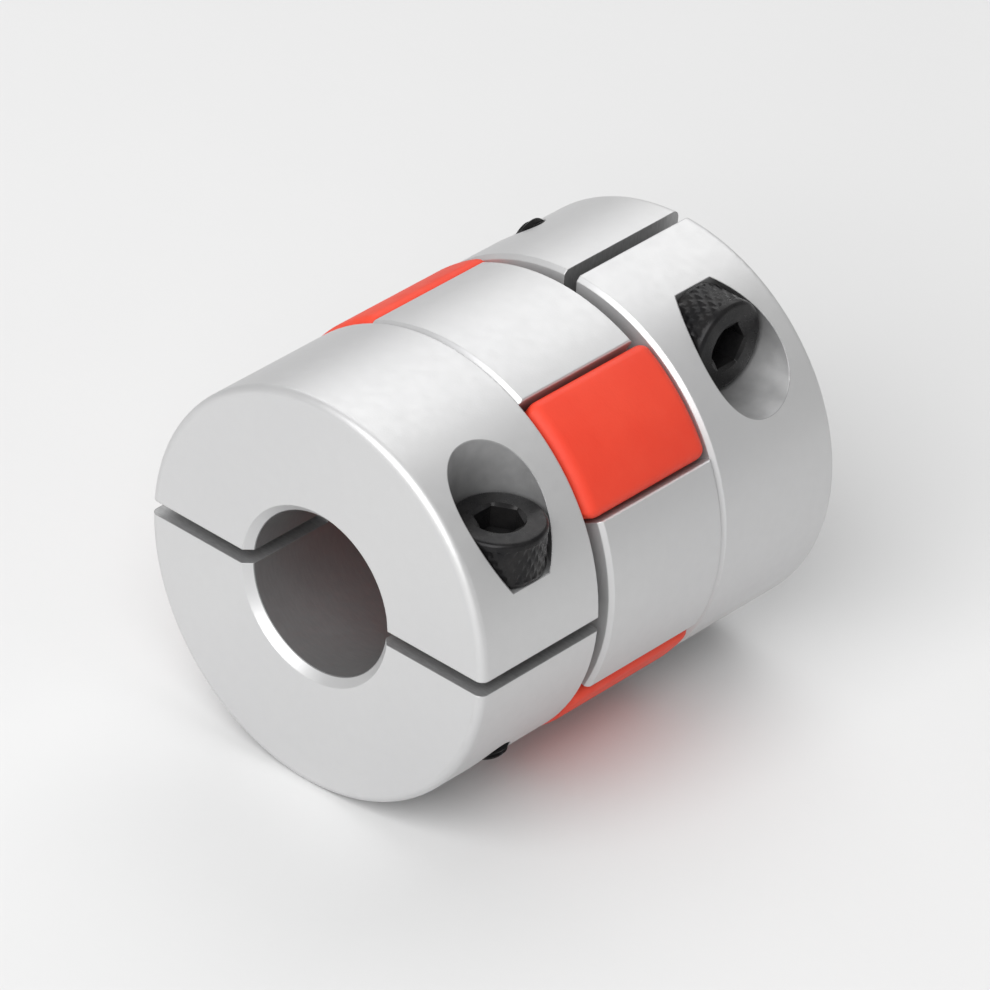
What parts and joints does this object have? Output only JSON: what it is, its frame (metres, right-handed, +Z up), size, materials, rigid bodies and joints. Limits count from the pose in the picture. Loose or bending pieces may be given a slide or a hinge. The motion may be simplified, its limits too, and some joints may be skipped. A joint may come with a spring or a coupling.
{
  "type": "jaw shaft coupling",
  "caption": "Flexible jaw coupling: clamp hubs with cap screws grip the shaft ends, and an elastomer spider sits between the hubs' jaws.",
  "frame": {"origin": "on the coupling's axis, half way between its two end faces", "axes": "+Y along the axis, out of the rear hub; +Z up; the front hub's clamp slit lies in the plane z = 0, its screw on the +X side with its head up"},
  "size_m": [0.025, 0.03, 0.025],
  "materials": {
    "anodised_aluminium": "fine bead-blasted, clear anodised",
    "red_polyurethane": "satin moulded",
    "black_oxide_steel": "black oxide, light oil"
  },
  "bodies": {
    "front_half": {"front_hub": "anodised_aluminium"},
    "spider": {"spider": "red_polyurethane"},
    "rear_half": {"rear_hub": "anodised_aluminium"},
    "front_screw": {"front_clamp_screw": "black_oxide_steel"},
    "rear_screw": {"rear_clamp_screw": "black_oxide_steel"}
  },
  "joints": [
    {"name": "plug_in", "type": "slide", "parent": "front_half", "child": "spider", "axis": [0, 1, 0], "range_m": [0, 0.012]},
    {"name": "wind_up", "type": "hinge", "parent": "spider", "child": "rear_half", "pos_m": [0, 0, 0], "axis": [0, 1, 0], "range_deg": [-1, 1], "stiffness_Nm_per_rad": 0.1},
    {"name": "front_screw_turn", "type": "hinge", "parent": "front_half", "child": "front_screw", "pos_m": [0.009, -0.0104, 0.0046], "axis": [0, 0, 1], "continuous": true},
    {"name": "rear_screw_turn", "type": "hinge", "parent": "rear_half", "child": "rear_screw", "pos_m": [0.0046, 0.0104, 0.009], "axis": [1, 0, 0], "continuous": true}
  ]
}
